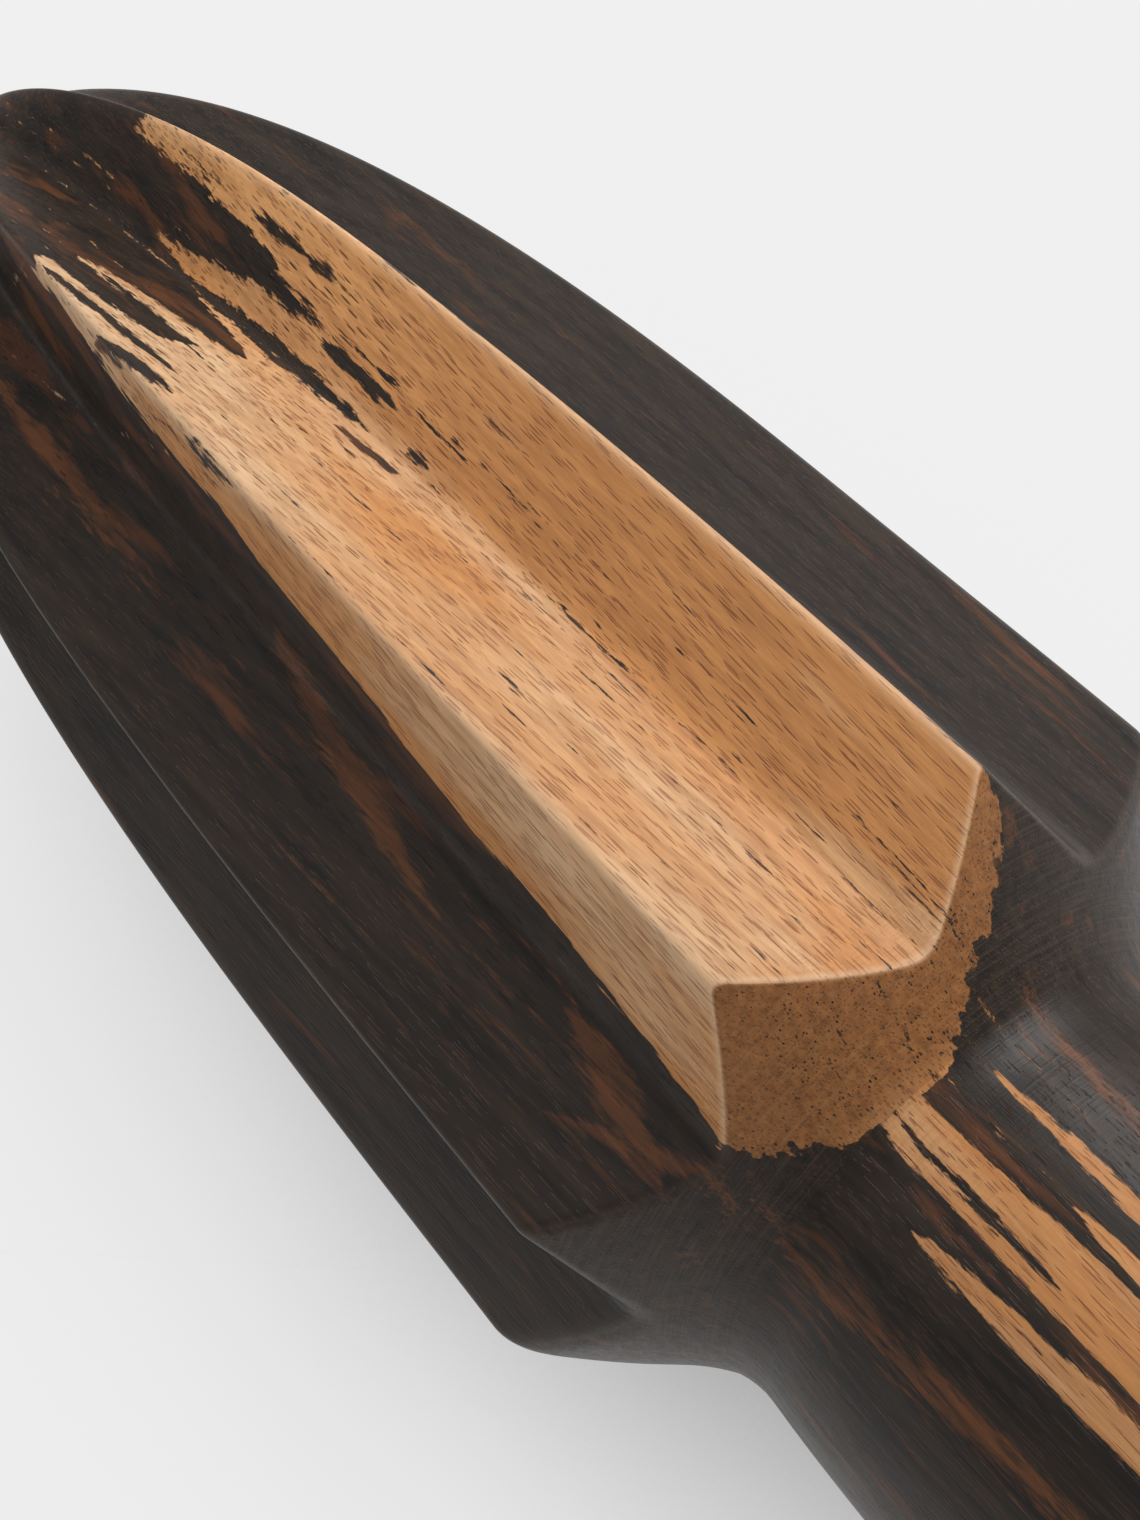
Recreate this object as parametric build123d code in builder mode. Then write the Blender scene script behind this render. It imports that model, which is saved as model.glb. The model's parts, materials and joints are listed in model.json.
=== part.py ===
from build123d import *
import os
from math import atan, cos, pi, sin, sqrt

os.makedirs("parts", exist_ok=True)

# A wooden citrus reamer, turned and carved from one billet of hardwood, lying at rest.
# It is first made on the lathe axis: +Z runs to the tip, and zero is the height of the
# sharp corner where shoulder and head would meet. All sizes are in millimetres.

# Head
ridge_count = 8
head_length = 72.0  # from the shoulder corner to the tip
head_radius = 22.8  # over the ridges, at the shoulder corner
head_taper = 6.4  # what the radius loses along the head, before the nose rounds it off
nose_power = 4.5  # a higher power keeps the head full for longer and blunts the nose
flute_depth = 5.3  # from the ridge line straight in to the bottom of a flute
runout_power = 12  # a higher power carries the full depth nearer to the tip
flute_bottom_radius = 2.2
ridge_land = 0.9  # width of turned surface left along the top of each ridge

# Shoulder, neck and handle
shoulder_drop = 8.9  # from the shoulder corner back to the neck
shoulder_rounding = 1.3
neck_radius = 14.3
neck_rounding = 5.0
handle_length = 72.0  # from the neck to the flat end
handle_swell = 1.9  # what the belly of the handle adds to the neck's radius
swell_power = 0.75  # under one, the belly lies nearer to the neck than to the end
end_rounding = 7.0

# How finely the curves are laid out, and how far the flute cutter reaches past the wood
curve_steps = 12
flute_shares = (-0.16, 0, 0.16, 0.32, 0.48, 0.62, 0.74, 0.84, 0.91, 0.96, 0.985)
flank_reach = 2.2  # a cutter's flank, as a multiple of the flank that it leaves
tip_clearance = 4.0
outline_samples = 700


def ridge_radius(height):
    """Radius over the ridges at a height above the shoulder corner."""
    share = height / head_length
    nose = max(share, 0) ** nose_power
    return (head_radius - head_taper * share) * sqrt(1 - nose)


def flute_radius(height):
    """Distance from the lathe axis to the bottom of a flute."""
    runout = max(height / head_length, 0) ** runout_power
    return ridge_radius(height) - flute_depth * (1 - runout)


def handle_radius(distance):
    """Radius of the handle at a distance behind the neck."""
    share = distance / handle_length
    return neck_radius + handle_swell * sin(pi * share**swell_power)


# The billet as it comes off the lathe: its outline, turned about the axis.
neck_height = -shoulder_drop
end_height = neck_height - handle_length
head_heights = [head_length * sin(pi / 2 * step / curve_steps) for step in range(curve_steps)]
head_points = [(ridge_radius(height), height) for height in head_heights]
handle_steps = [handle_length * step / curve_steps for step in range(curve_steps, -1, -1)]
handle_points = [(handle_radius(step), neck_height - step) for step in handle_steps]

with BuildPart() as billet:
    with BuildSketch(Plane.XZ) as outline:
        with BuildLine():
            Spline(*head_points, (0, head_length))
            Line((0, head_length), (0, end_height))
            Line((0, end_height), handle_points[0])
            Spline(*handle_points)
            Line(handle_points[-1], head_points[0])
        make_face()
        for corner, rounding in (
            (handle_points[0], end_rounding),
            (handle_points[-1], neck_rounding),
            (head_points[0], shoulder_rounding),
        ):
            fillet(outline.vertices().sort_by_distance(corner)[0], rounding)
    revolve(axis=Axis.Z)

# The flute cutter: V-shaped sections with a round bottom, strung along the head from
# behind the shoulder to the nose, and from there straight on past the tip.
half_pitch = pi / ridge_count

with BuildPart() as flute_cutter:
    for share in flute_shares:
        height = head_length * share
        bottom = flute_radius(height)
        edge_angle = half_pitch - ridge_land / 2 / ridge_radius(height)
        flank_depth = ridge_radius(height) * cos(edge_angle) - bottom
        flank_width = ridge_radius(height) * sin(edge_angle)
        outer = bottom + flank_reach * flank_depth
        with BuildSketch(Plane.XY.offset(height)) as section:
            with BuildLine():
                Polyline(
                    (outer, -flank_reach * flank_width),
                    (bottom, 0),
                    (outer, flank_reach * flank_width),
                    close=True,
                )
            make_face()
            fillet(section.vertices().sort_by(Axis.X)[0], flute_bottom_radius)
    loft()
    end_face = flute_cutter.faces().sort_by(Axis.Z)[-1]
    extrude(end_face, amount=head_length * (1 - flute_shares[-1]) + tip_clearance)

# The carved billet: every flute is the same cut, turned about the axis.
with BuildPart() as carved:
    add(billet.part)
    with PolarLocations(0, ridge_count):
        add(flute_cutter.part, mode=Mode.SUBTRACT)

# At rest two ridges and the back of the handle touch the ground, so the axis climbs
# towards the tip. The tilt is that of the line which holds up both from below.
ridge_foot = cos(half_pitch - ridge_land / 2 / head_radius)
outer_wire = outline.sketch.face().outer_wire()
rim = [outer_wire.position_at(sample / outline_samples) for sample in range(outline_samples)]
head_feet = [(point.Z, point.X * ridge_foot) for point in rim if point.Z > neck_height]
handle_feet = [(point.Z, point.X) for point in rim if point.Z < neck_height]
tilt = atan(
    min(
        max((head - handle) / (high - low) for high, head in head_feet)
        for low, handle in handle_feet
    )
)

# The reamer as it lies: tip towards -X, one flute uppermost, standing on the ground plane
# with its box centred over the origin.
lying = Plane(origin=(0, 0, 0), x_dir=(sin(tilt), 0, cos(tilt)), z_dir=(-cos(tilt), 0, sin(tilt)))
laid = lying * carved.part
box = laid.bounding_box()

with BuildPart() as reamer:
    with Locations((-box.center().X, -box.center().Y, -box.min.Z)):
        add(laid)

reamer.part.label = "reamer"
export_step(reamer.part, "parts/reamer.step")
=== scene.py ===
import json
from math import atan2, cos, hypot, inf, pi, radians, sin, sqrt

import bmesh
import bpy
from mathutils import Matrix, Vector, noise


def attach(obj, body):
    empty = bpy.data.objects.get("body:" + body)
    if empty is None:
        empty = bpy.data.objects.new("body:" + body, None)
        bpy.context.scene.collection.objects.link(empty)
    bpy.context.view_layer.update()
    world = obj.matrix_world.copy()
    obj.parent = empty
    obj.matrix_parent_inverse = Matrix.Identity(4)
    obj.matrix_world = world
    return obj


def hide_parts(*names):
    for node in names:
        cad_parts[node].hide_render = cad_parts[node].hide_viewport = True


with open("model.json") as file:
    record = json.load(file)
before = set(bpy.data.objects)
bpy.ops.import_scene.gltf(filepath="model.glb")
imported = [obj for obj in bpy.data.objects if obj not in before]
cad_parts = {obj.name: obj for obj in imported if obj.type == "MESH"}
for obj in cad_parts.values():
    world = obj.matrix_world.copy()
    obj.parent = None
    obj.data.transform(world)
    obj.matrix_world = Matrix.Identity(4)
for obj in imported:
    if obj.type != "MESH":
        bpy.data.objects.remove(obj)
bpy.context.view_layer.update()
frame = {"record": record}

# ---- The billet on the lathe -------------------------------------------------------------
# The reamer is one billet of ebony, sawn where the black heart meets the pale sapwood. It is
# turned to a bullet-shaped head, a sloping shoulder and a handle that swells behind the neck.
# Sizes are in millimetres on the lathe axis: +Z runs to the tip, zero is the shoulder corner.

HEAD_LENGTH = 72.0
HEAD_RADIUS = 22.8
HEAD_TAPER = 6.4
NOSE_POWER = 4.5
SHOULDER_DROP = 8.9
NECK_RADIUS = 14.3
NECK_SOFTNESS = 3.1
HANDLE_LENGTH = 72.0
HANDLE_SWELL = 1.9
SWELL_POWER = 0.75
END_ROUNDING = 7.0
SHOULDER_SLOPE = (HEAD_RADIUS - NECK_RADIUS) / SHOULDER_DROP

HEAD_RINGS = 240
SHOULDER_RINGS = 44
HANDLE_RINGS = 100
RIM_RINGS = 16
END_RINGS = 5
RIDGES = 8
COLUMNS_PER_FLUTE = 28
WELD_DISTANCE = 0.0005


def ridge_radius(height):
    """Radius over the ridges at a height above the shoulder corner."""
    share = height / HEAD_LENGTH
    return (HEAD_RADIUS - HEAD_TAPER * share) * sqrt(max(1 - max(share, 0) ** NOSE_POWER, 0))


def larger(first, second, softness):
    """The larger of two values, rounded over where they cross."""
    overlap = max(softness - abs(first - second), 0)
    return max(first, second) + overlap**2 / (4 * softness)


def turned_radius(height):
    """Radius of shoulder and handle, which run into each other in a soft hollow."""
    share = min(max((-SHOULDER_DROP - height) / HANDLE_LENGTH, 0), 1)
    handle = NECK_RADIUS + HANDLE_SWELL * sin(pi * share**SWELL_POWER)
    return larger(handle, HEAD_RADIUS + SHOULDER_SLOPE * height, NECK_SOFTNESS)


def eased(step, steps):
    """Runs from 0 to 1, with short steps at both ends."""
    return (1 - cos(pi * step / steps)) / 2


outline = []
for ring in range(HEAD_RINGS):
    height = HEAD_LENGTH * (1 - eased(ring, HEAD_RINGS))
    outline.append((ridge_radius(height), height))
for ring in range(SHOULDER_RINGS):
    height = -SHOULDER_DROP * eased(ring, SHOULDER_RINGS)
    outline.append((turned_radius(height), height))
rim_top = -SHOULDER_DROP - HANDLE_LENGTH + END_ROUNDING
for ring in range(HANDLE_RINGS):
    height = -SHOULDER_DROP + (rim_top + SHOULDER_DROP) * ring / HANDLE_RINGS
    outline.append((turned_radius(height), height))
flat_radius = turned_radius(rim_top) - END_ROUNDING
for ring in range(RIM_RINGS + 1):
    turn = pi / 2 * ring / RIM_RINGS
    outline.append((flat_radius + END_ROUNDING * cos(turn), rim_top - END_ROUNDING * sin(turn)))
for ring in range(1, END_RINGS + 1):
    outline.append((flat_radius * (1 - ring / END_RINGS), rim_top - END_ROUNDING))

billet = bmesh.new()
rim = [billet.verts.new((radius, 0, height)) for radius, height in outline]
edges = [billet.edges.new(pair) for pair in zip(rim, rim[1:])]
bmesh.ops.spin(
    billet,
    geom=rim + edges,
    axis=(0, 0, 1),
    cent=(0, 0, 0),
    angle=2 * pi,
    steps=RIDGES * COLUMNS_PER_FLUTE,
    use_merge=True,
)
bmesh.ops.remove_doubles(billet, verts=billet.verts, dist=WELD_DISTANCE)
bmesh.ops.recalc_face_normals(billet, faces=billet.faces)

# ---- The ridges and flutes ---------------------------------------------------------------
# Eight V-shaped flutes are carved down the head with a gouge, by eye, so no two ridges stand
# quite evenly. Each flute has flat flanks and a rounded bottom, and sanding blunts the ridges.

PITCH = 2 * pi / RIDGES
FLUTE_DEPTH = 5.25
LEAST_DEPTH = 0.004
LEAST_BOTTOM_SHARE = 0.5
RUNOUT_POWER = 12
BOTTOM_SOFTNESS = 0.95
RIDGE_LAND_LIFT = 0.22
CROWDING = 0.82
EDGE_PASSES = 6
# Width of the pale band along the edges: real wear and a painted highlight on the crests.
WORN_AND_HIGHLIGHT_WIDTH = 0.5
ON_AXIS = 0.001

# One value for each ridge or flute, in turn around the head, starting at the top flute.
RIDGE_SOFTNESS = (0.25, 0.40, 0.45, 0.45, 0.45, 0.45, 0.50, 0.90)
CORNER_ROUNDING = (0.35, 1.1, 1.2, 1.2, 1.2, 1.8, 0.8, 0.35)
RIDGE_STRAYS = [radians(stray) for stray in (-1.6, 3.1, -1.0, 0, 0, 4.6, -3.3, -2.7)]
BOTTOM_STRAYS = [radians(stray) for stray in (1.2, -3.4, 0.5, 1, 0, 0, 2.0, -0.9)]

# The hand-finished surface is slightly uneven, in long waves that calm down near the axis.
WAVE_HEIGHT = 0.16
WAVE_ACROSS = 9
WAVE_ALONG = 26
WAVE_CALM_RADIUS = 8


def flute_lines(flute):
    """Angles of the ridge before a flute, of its bottom, and of the ridge after it."""
    middle = flute * PITCH
    left = middle - PITCH / 2 + RIDGE_STRAYS[(flute - 1) % RIDGES]
    right = middle + PITCH / 2 + RIDGE_STRAYS[flute % RIDGES]
    return left, middle + BOTTOM_STRAYS[flute % RIDGES], right


def crowded(angle):
    """Moves a column towards the ridges and bottoms. Gives its angle and its flute."""
    flute = round(angle / PITCH)
    share = angle / PITCH - flute
    share -= CROWDING * sin(4 * pi * share) / (4 * pi)
    left, bottom, right = flute_lines(flute)
    reach = right - bottom if share > 0 else bottom - left
    return bottom + 2 * share * reach, flute


def flank(angle, bottom_angle, bottom, ridge_angle, ridge):
    """Radius of the flat flank through a flute's bottom and ridge; endless if never met."""
    span = ridge_angle - bottom_angle
    turn = angle - bottom_angle
    towards = bottom * sin(turn) + ridge * sin(span - turn)
    return bottom * ridge * sin(span) / towards if towards * span > 0 else inf


def carved_radius(angle, flute, height):
    """Radius of the head once its flutes are cut, with a narrow land left on each ridge."""
    runout = max(height / HEAD_LENGTH, 0) ** RUNOUT_POWER
    depth = max(FLUTE_DEPTH * (1 - runout), LEAST_DEPTH)
    turned = ridge_radius(height)
    bottom = max(turned - depth, turned * LEAST_BOTTOM_SHARE)
    land = min(RIDGE_LAND_LIFT, depth / 4)
    crest = turned + land
    left, middle, right = flute_lines(flute)
    left_flank = flank(angle, middle, bottom, left, crest)
    right_flank = flank(angle, middle, bottom, right, crest)
    radius = larger(left_flank, right_flank, min(BOTTOM_SOFTNESS, depth / 2))
    side = 1 if angle > middle else -1
    ridge = flute if side > 0 else flute - 1
    beyond = flute_lines(flute + side)[1]
    neighbour = flank(angle, beyond, bottom, right if side > 0 else left, crest)
    softness = min(RIDGE_SOFTNESS[ridge % RIDGES], depth / 2)
    radius = -larger(-radius, -neighbour, softness)
    return -larger(-radius, -turned, land)


def shoulder_edge(angle, flute):
    """Height where the carved surface runs out through the sloping shoulder."""
    height = 0
    for _ in range(EDGE_PASSES):
        height = (carved_radius(angle, flute, height) - HEAD_RADIUS) / SHOULDER_SLOPE
    return height


def carve(angle, height):
    """Where a turned point ends up once the flutes are cut, and its wear and painted highlight.
    """
    place, flute = crowded(angle)
    edge = shoulder_edge(place, flute)
    left, _, right = flute_lines(flute)
    share = (place - left) / (right - left)
    rounding = CORNER_ROUNDING[(flute - 1) % RIDGES] * (1 - share)
    rounding += CORNER_ROUNDING[flute % RIDGES] * share
    if height > 0:
        height = edge + (HEAD_LENGTH - edge) * height / HEAD_LENGTH
        radius = carved_radius(place, flute, height)
        part = 0.5 - min((height - edge) / rounding, 1) / 2
    else:
        share = height / -SHOULDER_DROP
        height = edge + (-SHOULDER_DROP - edge) * share
        radius = turned_radius(height)
        part = 0.5 + min((edge - height) / rounding, 1) / 2
    # Beside the shoulder's corner a point moves onto a curve that rounds the corner off.
    if 0 < part < 1:
        above = Vector((carved_radius(place, flute, edge + rounding), edge + rounding))
        tip = Vector((turned_radius(edge), edge))
        below = Vector((turned_radius(edge - rounding), edge - rounding))
        radius, height = above * (1 - part) ** 2 + tip * 2 * part * (1 - part) + below * part**2
    # Down the shoulder the columns spread out evenly again.
    if height < edge:
        place += (angle - place) * (edge - height) / (edge + SHOULDER_DROP)
    # Nearness to a ridge or the shoulder's edge: real wear and a painted highlight on the crests.
    from_edge = abs(height - edge)
    if height > edge:
        from_edge = min(from_edge, radius * min(place - left, right - place))
    return radius, place, height, max(1 - from_edge / WORN_AND_HIGHLIGHT_WIDTH, 0)


# Each vertex's nearness to an edge: pale worn fibres and a painted highlight on the crests.
edge_wear_and_highlight = billet.verts.layers.float.new("edge_wear_and_highlight")
for vert in billet.verts:
    radius = hypot(vert.co.x, vert.co.y)
    if radius < ON_AXIS:
        continue
    angle = atan2(vert.co.y, vert.co.x)
    height = vert.co.z
    if height > -SHOULDER_DROP:
        radius, angle, height, vert[edge_wear_and_highlight] = carve(angle, height)
    wave_x = radius * cos(angle) / WAVE_ACROSS
    wave_y = radius * sin(angle) / WAVE_ACROSS
    wave = noise.noise(Vector((wave_x, wave_y, height / WAVE_ALONG)))
    radius += WAVE_HEIGHT * wave * min(radius / WAVE_CALM_RADIUS, 1)
    vert.co = Vector((radius * cos(angle), radius * sin(angle), height))

# ---- The sapwood -------------------------------------------------------------------------
# The pale sapwood lies along the upper side of the billet and fills the top flute between two
# ridges. Its floor is a height above the axis, and sinks or climbs from place to place. Each
# pair is where such a change starts and ends, counted from the shoulder corner or the middle.

SAP_FLOOR = 13.9
DROP_AT_NOSE = 0.9
NOSE_REACH = (40, 56)
DROP_UNDER_FLUTE = 2.3
FLUTE_SIDE = (-7, -4.5)
FLUTE_REACH = (30, 42)
DROP_AT_SHOULDER = 0.8
SHOULDER_REACH = (2, 5)
CLIMB_AT_NECK = 6
NECK_REACH = (8.4, 11)
SLANT_UP = 0.9
SLANT_UP_FROM = 14.2
SLANT_ASIDE = 0.43
SLANT_ASIDE_FROM = -2.6
SLANT_BEND = 0.0019
PAST_RIDGE = 0.02
SAP_END = 59.0
SAP_END_SKEW = 0.35
SAP_END_FADE = 0.5
END_GRAIN_SLOPE = (0.3, 0.55)


def share_of(value, low, high):
    """How far a value has come from low to high, held between 0 and 1."""
    return min(max((value - low) / (high - low), 0), 1)


def sap_reach(x, y, height):
    """How far inside the sapwood a point lies, in millimetres; below zero is heartwood."""
    floor = SAP_FLOOR - DROP_AT_NOSE * share_of(height, *NOSE_REACH)
    floor -= DROP_UNDER_FLUTE * share_of(y, *FLUTE_SIDE) * share_of(height, *FLUTE_REACH)
    floor -= DROP_AT_SHOULDER * share_of(-height, *SHOULDER_REACH)
    floor += CLIMB_AT_NECK * share_of(-height, *NECK_REACH)
    # Towards the far side the floor slants up, but less and less so along the head.
    slant = SLANT_UP * (x - SLANT_UP_FROM) - SLANT_ASIDE * (y - SLANT_ASIDE_FROM)
    slant += SLANT_BEND * max(height, 0) ** 2
    # The sapwood ends at the far ridge of the top flute, and short of the nose.
    beside = hypot(x, y) * (flute_lines(0)[2] + PAST_RIDGE - atan2(y, x))
    before_end = (SAP_END + SAP_END_SKEW * y - height) * SAP_END_FADE
    return min(x - floor, slant, beside, before_end)


sapwood = billet.verts.layers.float.new("sapwood")
end_grain = billet.verts.layers.float.new("end_grain")
billet.normal_update()
for vert in billet.verts:
    vert[sapwood] = sap_reach(vert.co.x, vert.co.y, vert.co.z)
    vert[end_grain] = share_of(abs(vert.normal.z), *END_GRAIN_SLOPE)

# ---- Laying the reamer down --------------------------------------------------------------
# It rests on two ridges and the back of the handle. The flat end of the handle, which the
# frame states, gives both the lathe axis and the place of the shoulder corner along it.

MILLIMETRE = 0.001
handle_end = frame["record"]["mounts"][0]
towards_tip = -Vector(handle_end["axis"])
sideways = Vector((0, 1, 0))
upwards = sideways.cross(towards_tip)
corner = Vector(handle_end["pos_m"]) + towards_tip * (SHOULDER_DROP + HANDLE_LENGTH) * MILLIMETRE
turned_to_rest = Matrix((upwards, sideways, towards_tip)).transposed().to_4x4()
lathe_to_rest = Matrix.Translation(corner) @ turned_to_rest @ Matrix.Scale(MILLIMETRE, 4)
bmesh.ops.transform(billet, matrix=lathe_to_rest, verts=billet.verts)

mesh = bpy.data.meshes.new("reamer_wood")
billet.to_mesh(mesh)
billet.free()
mesh.shade_smooth()
reamer = bpy.data.objects.new("reamer_wood", mesh)
bpy.context.scene.collection.objects.link(reamer)
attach(reamer, "root")
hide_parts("reamer")

# ---- The wood ----------------------------------------------------------------------------
# Black-brown heartwood with rusty streaks, and tan sapwood with open pores that show as
# dashes along the grain and dots on the end grain. It is oiled and rubbed to a low satin.

DEEP_SAP = (0.79, 0.525, 0.300, 1)
YOUNG_SAP = (0.68, 0.31, 0.105, 1)
GOLDEN_SAP_AND_PAINTED_LIGHT = (0.93, 0.47, 0.18, 1)
SAP_LINE = (0.33, 0.130, 0.045, 1)
SAP_PORE = (0.22, 0.062, 0.025, 1)
WORN_AND_HIGHLIGHT_SAP = (0.80, 0.57, 0.37, 1)
END_DARK = (0.19, 0.071, 0.021, 1)
END_PALE = (0.38, 0.155, 0.050, 1)
END_SCRATCH = (0.42, 0.22, 0.09, 1)
END_PORE = (0.05, 0.022, 0.011, 1)
FILLED_PORE = (0.02, 0.014, 0.010, 1)
HEART_DARK = (0.0140, 0.0108, 0.0092, 1)
HEART_BROWN = (0.040, 0.026, 0.017, 1)
HEART_RED = (0.17, 0.056, 0.019, 1)
HEART_RUST = (0.19, 0.066, 0.022, 1)
HEART_SCUFF = (0.085, 0.058, 0.040, 1)
HEART_PORE = (0.007, 0.0055, 0.005, 1)
WORN_AND_HIGHLIGHT_HEART = (0.10, 0.075, 0.060, 1)
PORE_DEPTH = 0.00008
PORE_EDGE = 0.75
OFF_THE_TIPS = 0.1

wood = bpy.data.materials.new("ebony")
wood.use_nodes = True
tree = wood.node_tree
tree.nodes.clear()
mesh.materials.append(wood)


def node(kind, inputs=None, **settings):
    """Adds a node. An input is either a value or the socket that feeds it."""
    made = tree.nodes.new(kind)
    for name, value in settings.items():
        setattr(made, name, value)
    for name, value in (inputs or {}).items():
        if isinstance(value, bpy.types.NodeSocket):
            tree.links.new(value, made.inputs[name])
        else:
            made.inputs[name].default_value = value
    return made


def reckon(operation, first, second=0.0):
    """One step of arithmetic."""
    return node("ShaderNodeMath", {0: first, 1: second}, operation=operation).outputs[0]


def plus(first, second):
    return reckon("ADD", first, second)


def minus(first, second):
    return reckon("SUBTRACT", first, second)


def times(first, second):
    return reckon("MULTIPLY", first, second)


def ramp(value, low, high, to_low=0.0, to_high=1.0):
    """Maps a value from low..high to a new range, and holds it there."""
    inputs = {
        "Value": value,
        "From Min": low,
        "From Max": high,
        "To Min": to_low,
        "To Max": to_high,
    }
    return node("ShaderNodeMapRange", inputs).outputs[0]


def blend(share, first, second):
    """Mixes two colours."""
    return node("ShaderNodeMix", {0: share, 6: first, 7: second}, data_type="RGBA").outputs[2]


def stain(colour, tint, place, strength):
    """Lays some of a tint over a colour, where the place value says."""
    return blend(times(place, strength), colour, tint)


rest_to_lathe = lathe_to_rest.inverted()
in_billet = node(
    "ShaderNodeMapping",
    {
        "Vector": node("ShaderNodeTexCoord").outputs["Object"],
        "Location": rest_to_lathe.translation,
        "Rotation": rest_to_lathe.to_euler(),
        "Scale": (1 / MILLIMETRE, 1 / MILLIMETRE, 1 / MILLIMETRE),
    },
).outputs[0]
x_in_billet, y_in_billet, height_in_billet = node("ShaderNodeSeparateXYZ", {0: in_billet}).outputs


def grain_place(across, along, shift):
    """Coordinates that stretch a pattern along the grain."""
    inputs = {
        "Vector": in_billet,
        "Location": (shift, shift * 1.7, shift * 0.6),
        "Scale": (1 / across, 1 / across, 1 / along),
    }
    return node("ShaderNodeMapping", inputs).outputs[0]


def figure(across, along, detail=2.0, shift=0.0, roughness=0.5):
    """Noise as large across and along the grain as given, in millimetres."""
    place = grain_place(across, along, shift)
    inputs = {"Vector": place, "Scale": 1.0, "Detail": detail, "Roughness": roughness}
    return node("ShaderNodeTexNoise", inputs).outputs[0]


def waver(size, **grain):
    """The same noise made to stray from zero both ways, within half the size given."""
    return times(minus(figure(**grain), 0.5), size)


def vessels(spacing, length, size, shift=0.0):
    """Open pores: long thin hollows along the grain, one to a cell of the given size."""
    inputs = {"Vector": grain_place(spacing, length, shift), "Scale": 1.0}
    away = node("ShaderNodeTexVoronoi", inputs).outputs["Distance"]
    return ramp(away, size * PORE_EDGE, size, 1.0, 0.0)


def attribute(name):
    """What a vertex layer of the mesh says."""
    return node("ShaderNodeAttribute", attribute_name=name).outputs["Fac"]


def spindle(start, end, half_width):
    """How far inside a spindle a point lies. Start and end are each a height and a Y.

    Before its start and behind its end a point counts as a little outside.
    """
    share = ramp(height_in_billet, end[0], start[0])
    middle = ramp(height_in_billet, end[0], start[0], end[1], start[1])
    bulge = reckon("SQRT", times(share, minus(1.0, share)))
    half = minus(times(bulge, 2 * (half_width + OFF_THE_TIPS)), OFF_THE_TIPS)
    return minus(half, reckon("ABSOLUTE", minus(y_in_billet, middle)))


# The edge of the sapwood is ragged across the grain and runs out in spikes along it.
wander = waver(2.2, across=2.6, along=30.0, shift=3.0)
fringe = waver(1.7, across=0.7, along=9.0, shift=9.0)
splinters = waver(1.3, across=0.22, along=2.6, detail=3.0, shift=11.0, roughness=0.7)
sap_distance = plus(attribute("sapwood"), plus(wander, fringe))
sap_distance = plus(sap_distance, times(splinters, 0.5))
ragged = plus(times(fringe, 0.5), splinters)
upper_side = times(x_in_billet, 0.5)


def ragged_spindle(start, end, half_width, raggedness):
    """A spindle with splinters along its edge, as long as the raggedness makes them."""
    return plus(spindle(start, end, half_width), times(ragged, raggedness))


# Tongues of heartwood come back from the nose into the top flute.
for start, end, half_width in (
    ((72.0, -1.6), (46.8, -2.6), 3.2),
    ((70.0, 1.8), (47.6, 2.6), 1.5),
    ((56.0, 2.4), (43.4, 2.3), 0.45),
    ((52.0, 0.0), (38.2, 0.3), 0.55),
    ((54.0, -0.6), (45.2, -1.6), 0.6),
):
    inside = ragged_spindle(start, end, half_width, raggedness=1.0)
    sap_distance = reckon("MINIMUM", sap_distance, times(inside, -1.0))

# Slivers of sapwood run forward between them, and back along the top of the handle.
for start, end, half_width in (
    ((50.5, 1.1), (45.5, 1.7), 0.22),
    ((57.4, -6.1), (46.0, -5.1), 0.38),
    ((56.4, -3.8), (43.0, -2.1), 0.50),
    ((-1.0, -4.8), (-60.0, -5.3), 1.70),
    ((-13.5, -8.3), (-46.0, -8.1), 0.70),
    ((-10.5, -0.1), (-40.0, -0.3), 0.50),
    ((-18.5, -2.3), (-50.0, -2.4), 0.70),
    ((-36.0, 1.6), (-58.0, 1.9), 0.45),
):
    inside = ragged_spindle(start, end, half_width, raggedness=0.6)
    inside = reckon("MINIMUM", inside, upper_side)
    sap_distance = reckon("MAXIMUM", sap_distance, inside)

# Thin dark marks stand alone in the sapwood.
for start, end, half_width in (
    ((56.6, -6.0), (45.0, -5.5), 0.26),
    ((55.2, -3.6), (46.2, -3.5), 0.24),
    ((50.8, -7.2), (44.8, -6.5), 0.36),
    ((42.6, -7.9), (38.2, -8.2), 0.13),
    ((51.7, 4.2), (47.0, 4.2), 0.26),
    ((47.4, 4.3), (44.8, 4.3), 0.14),
    ((43.4, 1.9), (36.2, 1.9), 0.34),
    ((39.0, -0.9), (34.1, -0.5), 0.26),
    ((35.2, 0.9), (33.3, 0.9), 0.16),
    ((-8.6, -5.2), (-21.4, -5.6), 0.26),
):
    inside = ragged_spindle(start, end, half_width, raggedness=0.7)
    sap_distance = reckon("MINIMUM", sap_distance, times(inside, -1.0))
is_sap = ramp(sap_distance, -0.05, 0.05)

# Pores come in bands. Between them run fine lines and still finer fibres.
pore_bands = ramp(figure(across=1.5, along=6.0, shift=14.0), 0.34, 0.54)
coarse_pores = times(vessels(spacing=0.30, length=17.0, size=0.21), pore_bands)
fine_pores = vessels(spacing=0.17, length=8.0, size=0.34, shift=4.0)
pores = reckon("MAXIMUM", coarse_pores, times(fine_pores, 0.7))
lines = ramp(figure(across=0.45, along=34.0, detail=4.0, shift=5.0, roughness=0.65), 0.40, 0.64)
fibres = ramp(figure(across=0.12, along=7.0, detail=3.0, shift=6.0, roughness=0.7), 0.3, 0.7)

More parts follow.
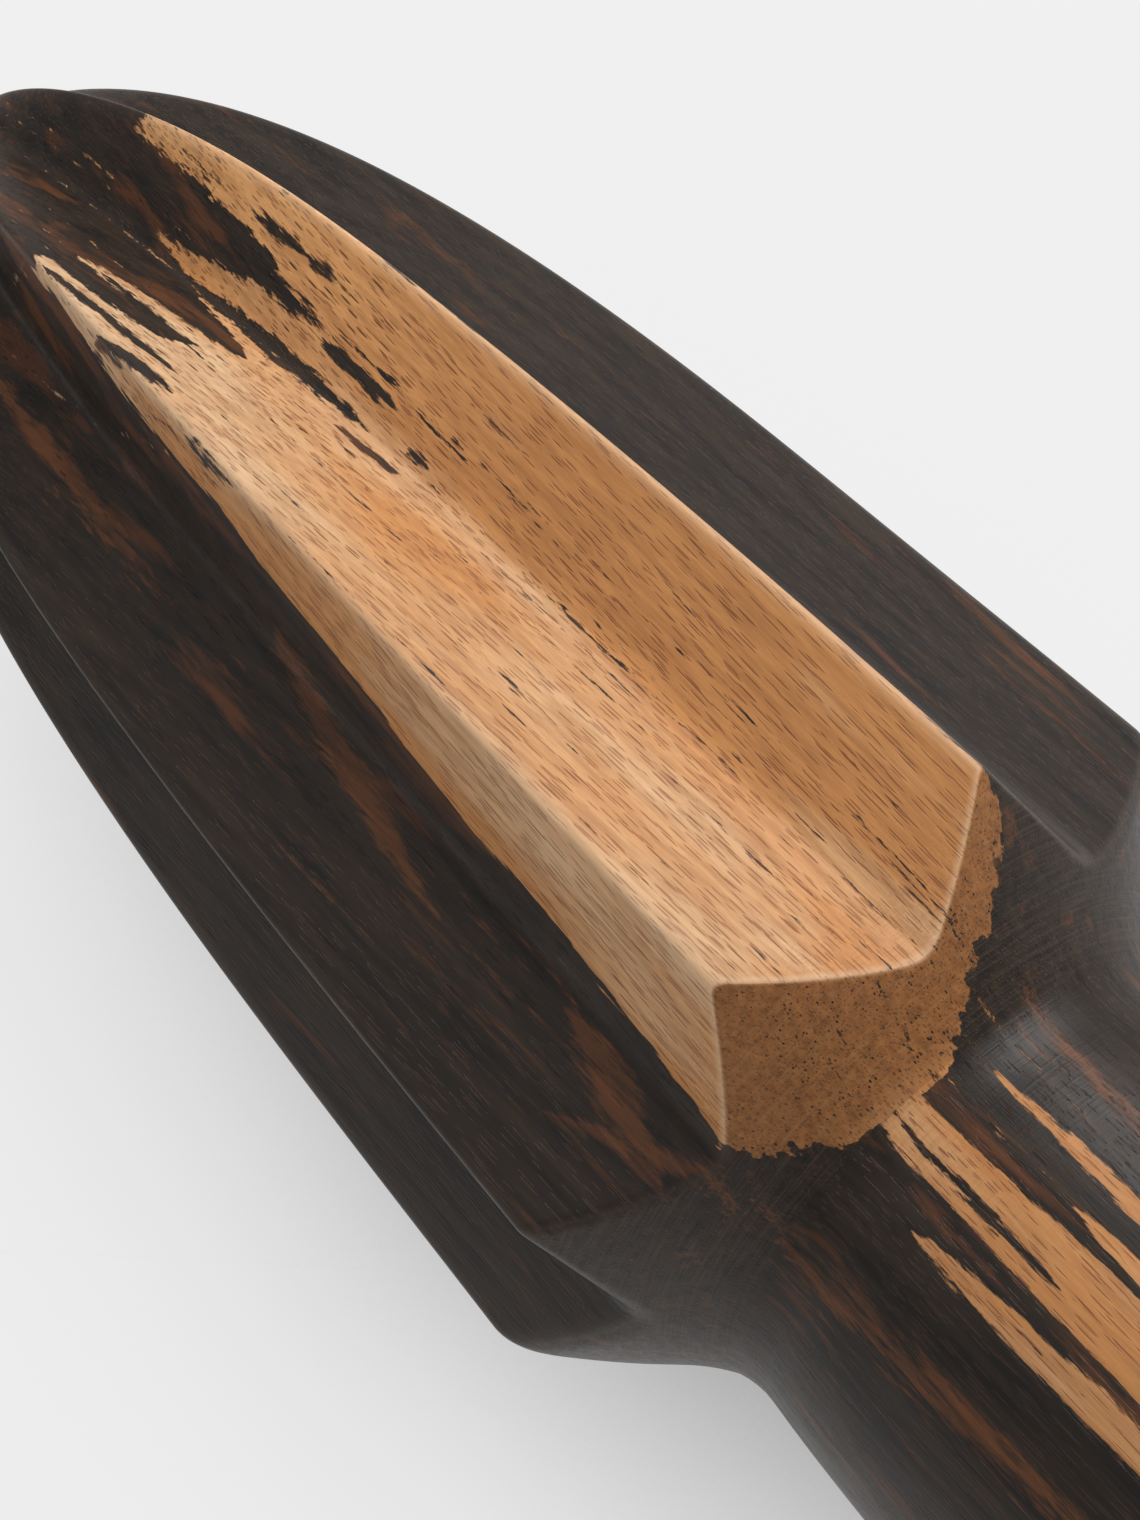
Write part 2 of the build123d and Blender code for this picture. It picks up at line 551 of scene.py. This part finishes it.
# The lathe left fine scratches around the axis, from the shoulder down to the handle, where
# the hand has worn most of them away.
turned = ramp(height_in_billet, -1.5, 0.5, 1.0, 0.0)
turned = times(turned, ramp(height_in_billet, -20.0, -10.0, 0.25, 1.0))
flat = node("ShaderNodeVectorMath", {0: in_billet, 1: (1, 1, 0)}, operation="MULTIPLY").outputs[0]
from_axis = node("ShaderNodeVectorMath", {0: flat}, operation="LENGTH").outputs["Value"]
around = reckon("ARCTAN2", y_in_billet, x_in_billet)
ring_place = node(
    "ShaderNodeCombineXYZ",
    {0: times(from_axis, 7.0), 1: times(around, 4.0), 2: times(height_in_billet, 7.0)},
).outputs[0]
ring_noise = node(
    "ShaderNodeTexNoise",
    {"Vector": ring_place, "Scale": 1.0, "Detail": 2.0, "Roughness": 0.6},
).outputs[0]
scratches = times(ramp(ring_noise, 0.45, 0.7), turned)

# Sapwood: pale and yellow where it is deep, orange-brown towards the heart, and a warm gold on
# the far flank near the nose. The flank tones are partly the wood's own and partly painted light
# and shade.
clouds = ramp(figure(across=4.0, along=22.0, shift=7.0), 0.3, 0.7, -1.9, 1.9)
# Near flank paler, far flank darker orange: partly wood tone, partly painted light and shade.
side_tone_and_painted_light = ramp(y_in_billet, -3.5, 3.0, 1.6, -1.3)
# The strip beyond the near ridge is darker: partly sapwood near the heart, partly painted shade.
side_tone_and_painted_light = minus(side_tone_and_painted_light, ramp(y_in_billet, -9.5, -7.5, 1.3, 0.0))
# Towards the nose it is lighter: partly its own tone, partly painted light as the flank turns.
side_tone_and_painted_light = plus(side_tone_and_painted_light, ramp(height_in_billet, 36.0, 54.0, 0.0, 1.8))
side_tone_and_painted_light = times(side_tone_and_painted_light, ramp(height_in_billet, -4.0, 0.0))
depth_and_painted_light_share = plus(times(sap_distance, 0.5), side_tone_and_painted_light)
depth_and_painted_light_share = ramp(plus(depth_and_painted_light_share, clouds), 0.0, 3.6)
# The far flank turns a warm gold near the nose: partly its own tone, partly painted light.
golden_tone_and_painted_light = times(ramp(height_in_billet, 30.0, 50.0), ramp(y_in_billet, 0.5, 2.5))
near_nose = ramp(height_in_billet, 36.0, 50.0)
behind_neck = ramp(height_in_billet, -14.0, -5.0, 1.0, 0.0)
sap_colour = blend(depth_and_painted_light_share, YOUNG_SAP, DEEP_SAP)
sap_colour = blend(golden_tone_and_painted_light, sap_colour, GOLDEN_SAP_AND_PAINTED_LIGHT)
sap_colour = stain(sap_colour, SAP_LINE, lines, strength=0.50)
sap_colour = stain(sap_colour, SAP_LINE, fibres, strength=0.30)
sap_colour = stain(sap_colour, SAP_LINE, behind_neck, strength=0.20)
sap_colour = stain(sap_colour, SAP_PORE, pores, strength=0.75)
sap_colour = stain(sap_colour, FILLED_PORE, coarse_pores, strength=near_nose)
sap_colour = stain(sap_colour, SAP_LINE, scratches, strength=0.25)
# Ridges and the shoulder's edge turn pale: worn fibres and a painted highlight on the crests.
sap_colour = stain(sap_colour, WORN_AND_HIGHLIGHT_SAP, attribute("edge_wear_and_highlight"), strength=0.45)

# End grain of the sapwood: darker and mottled, with filled pores beside the heartwood.
mottle = ramp(figure(across=0.5, along=1.2, detail=4.0, roughness=0.7), 0.3, 0.7)
beside_heart = ramp(sap_distance, 0.3, 2.2, 1.0, 0.0)
end_sap = blend(mottle, END_DARK, END_PALE)
end_sap = stain(end_sap, END_SCRATCH, scratches, strength=0.30)
end_sap = stain(end_sap, END_PORE, pores, strength=0.5)
end_sap = stain(end_sap, FILLED_PORE, coarse_pores, strength=beside_heart)
sap_colour = blend(attribute("end_grain"), sap_colour, end_sap)

# Heartwood: nearly black, with rusty streaks along the grain, most of them near the sapwood.
heart_grain = figure(across=0.8, along=26.0, shift=2.0, detail=4.0, roughness=0.6)
heart_grain = ramp(heart_grain, 0.35, 0.7)
near_sap = ramp(sap_distance, -6.0, -0.8, 0.0, 0.085)
near_sap = times(near_sap, ramp(height_in_billet, -6.0, 0.0, 0.2, 1.0))
streaks = figure(across=1.6, along=26.0, shift=12.0, detail=4.0, roughness=0.6)
streaks = ramp(plus(streaks, near_sap), 0.60, 0.72)
heart_colour = blend(heart_grain, HEART_DARK, HEART_BROWN)
heart_colour = stain(heart_colour, HEART_RED, streaks, strength=0.55)
heart_colour = stain(heart_colour, HEART_RED, fine_pores, strength=0.12)

# Rusty patches lie on the flank below the sapwood, at the shoulder and on the handle.
rust_strength = ramp(heart_grain, 0.0, 0.9, 0.25, 0.8)
for start, end, half_width in (
    ((62.0, -9.0), (38.0, -12.5), 0.6),
    ((33.0, -10.0), (15.0, -14.2), 0.7),
    ((7.0, -12.8), (-3.5, -15.5), 1.0),
    ((4.0, -17.0), (-7.0, -13.0), 0.6),
    ((-6.5, -12.2), (-36.0, -12.0), 0.6),
    ((-7.0, 4.3), (-26.0, 2.2), 0.5),
    ((-22.0, -7.2), (-40.0, -6.9), 0.5),
):
    inside = ragged_spindle(start, end, half_width, raggedness=1.6)
    rusty = ramp(reckon("MINIMUM", inside, upper_side), -0.05, 0.45)
    heart_colour = stain(heart_colour, HEART_RUST, rusty, rust_strength)
scuffs = times(scratches, attribute("end_grain"))
heart_colour = stain(heart_colour, HEART_SCUFF, scuffs, strength=0.45)
heart_colour = stain(heart_colour, HEART_PORE, coarse_pores, strength=0.6)
# Heartwood ridges turn lighter: real wear and a painted highlight on the crests.
heart_colour = stain(heart_colour, WORN_AND_HIGHLIGHT_HEART, attribute("edge_wear_and_highlight"), strength=0.30)

# The sapwood is a little duller than the heartwood. Pores are hollows, and the marks of the
# lathe and the fibres between the pores stand up a little.
relief = minus(times(scratches, 0.18), pores)
relief = plus(relief, times(fibres, 0.12))
bump = node("ShaderNodeBump", {"Strength": 0.5, "Distance": PORE_DEPTH, "Height": relief})
skin = node(
    "ShaderNodeBsdfPrincipled",
    {
        "Base Color": blend(is_sap, heart_colour, sap_colour),
        "Roughness": plus(ramp(lines, 0, 1, 0.34, 0.42), times(is_sap, 0.08)),
        "IOR": 1.45,
        "Specular IOR Level": 0.3,
        "Normal": bump.outputs[0],
    },
)
node("ShaderNodeOutputMaterial", {"Surface": skin.outputs[0]})

# ---- The table ---------------------------------------------------------------------------
# A plain pale sheet, wide enough to fill the view, for the reamer to lie on. It glows a little
# of its own, as if lit from all around, and less so where the reamer stands close above it.

SHEET_SIZE = 3.0
SHEET_GREY = (0.07, 0.07, 0.07, 1)
SHEET_GLOW = 0.80
SHADE_DEPTH = 0.72
SHADE_POWER = 2.0
SHADE_REACH = 0.022

floor_mesh = bpy.data.meshes.new("floor")
sheet = bmesh.new()
bmesh.ops.create_grid(sheet, x_segments=1, y_segments=1, size=SHEET_SIZE)
sheet.to_mesh(floor_mesh)
sheet.free()
floor = bpy.data.objects.new("floor", floor_mesh)
bpy.context.scene.collection.objects.link(floor)
paper = bpy.data.materials.new("paper")
paper.use_nodes = True
tree = paper.node_tree
tree.nodes.clear()
open_sky = node("ShaderNodeAmbientOcclusion", {"Distance": SHADE_REACH}, samples=16).outputs["AO"]
shade = reckon("POWER", minus(1.0, open_sky), SHADE_POWER)
strength = minus(SHEET_GLOW, times(shade, SHADE_DEPTH))
glow = node("ShaderNodeEmission", {"Color": (1, 1, 1, 1), "Strength": strength})
matt = node("ShaderNodeBsdfDiffuse", {"Color": SHEET_GREY})
both = node("ShaderNodeAddShader", {0: glow.outputs[0], 1: matt.outputs[0]})
node("ShaderNodeOutputMaterial", {"Surface": both.outputs[0]})
floor_mesh.materials.append(paper)

# ---- The light ---------------------------------------------------------------------------
# A bright even room with one broad soft light, high up beyond the reamer, and a faint one from
# the near side that keeps the flanks below the ridges from going black.

ROOM_BRIGHTNESS = 0.35

world = bpy.data.worlds.new("studio")
world.use_nodes = True
world.node_tree.nodes["Background"].inputs["Color"].default_value = (1, 1, 1, 1)
world.node_tree.nodes["Background"].inputs["Strength"].default_value = ROOM_BRIGHTNESS
bpy.context.scene.world = world


def soft_light(name, place, power, size, aim=(0, 0, 0.02)):
    """A square panel of light that faces the reamer."""
    light = bpy.data.lights.new(name, "AREA")
    light.energy = power
    light.size = size
    lamp = bpy.data.objects.new(name, light)
    lamp.location = place
    lamp.rotation_euler = (Vector(aim) - Vector(place)).to_track_quat("-Z", "Y").to_euler()
    bpy.context.scene.collection.objects.link(lamp)


soft_light("key", place=(-0.15, 1.0, 1.35), power=25.0, size=1.1)
soft_light("fill", place=(-0.7, -0.8, 1.2), power=1.5, size=1.0)

# ---- The camera --------------------------------------------------------------------------
# It looks steeply down on the head from beside the handle, near enough to lose both ends.

CAMERA_AZIMUTH = radians(-51.28)
CAMERA_ELEVATION = radians(58.99)
CAMERA_ROLL = radians(-2.91)
CAMERA_DISTANCE = 0.3837
CAMERA_AIM = Vector((-0.02605, 0.00058, 0.02305))
level = cos(CAMERA_ELEVATION)
gaze = Vector((sin(CAMERA_AZIMUTH) * level, cos(CAMERA_AZIMUTH) * level, -sin(CAMERA_ELEVATION)))
lens = bpy.data.cameras.new("camera")
lens.lens = 172.4
lens.sensor_width = 36.0
lens.clip_start = 0.01
camera = bpy.data.objects.new("camera", lens)
camera.location = CAMERA_AIM - gaze * CAMERA_DISTANCE
roll = Matrix.Rotation(CAMERA_ROLL, 4, "Z")
camera.rotation_euler = (gaze.to_track_quat("-Z", "Y").to_matrix().to_4x4() @ roll).to_euler()
bpy.context.scene.collection.objects.link(camera)
bpy.context.scene.camera = camera
bpy.context.scene.view_settings.view_transform = "Standard"
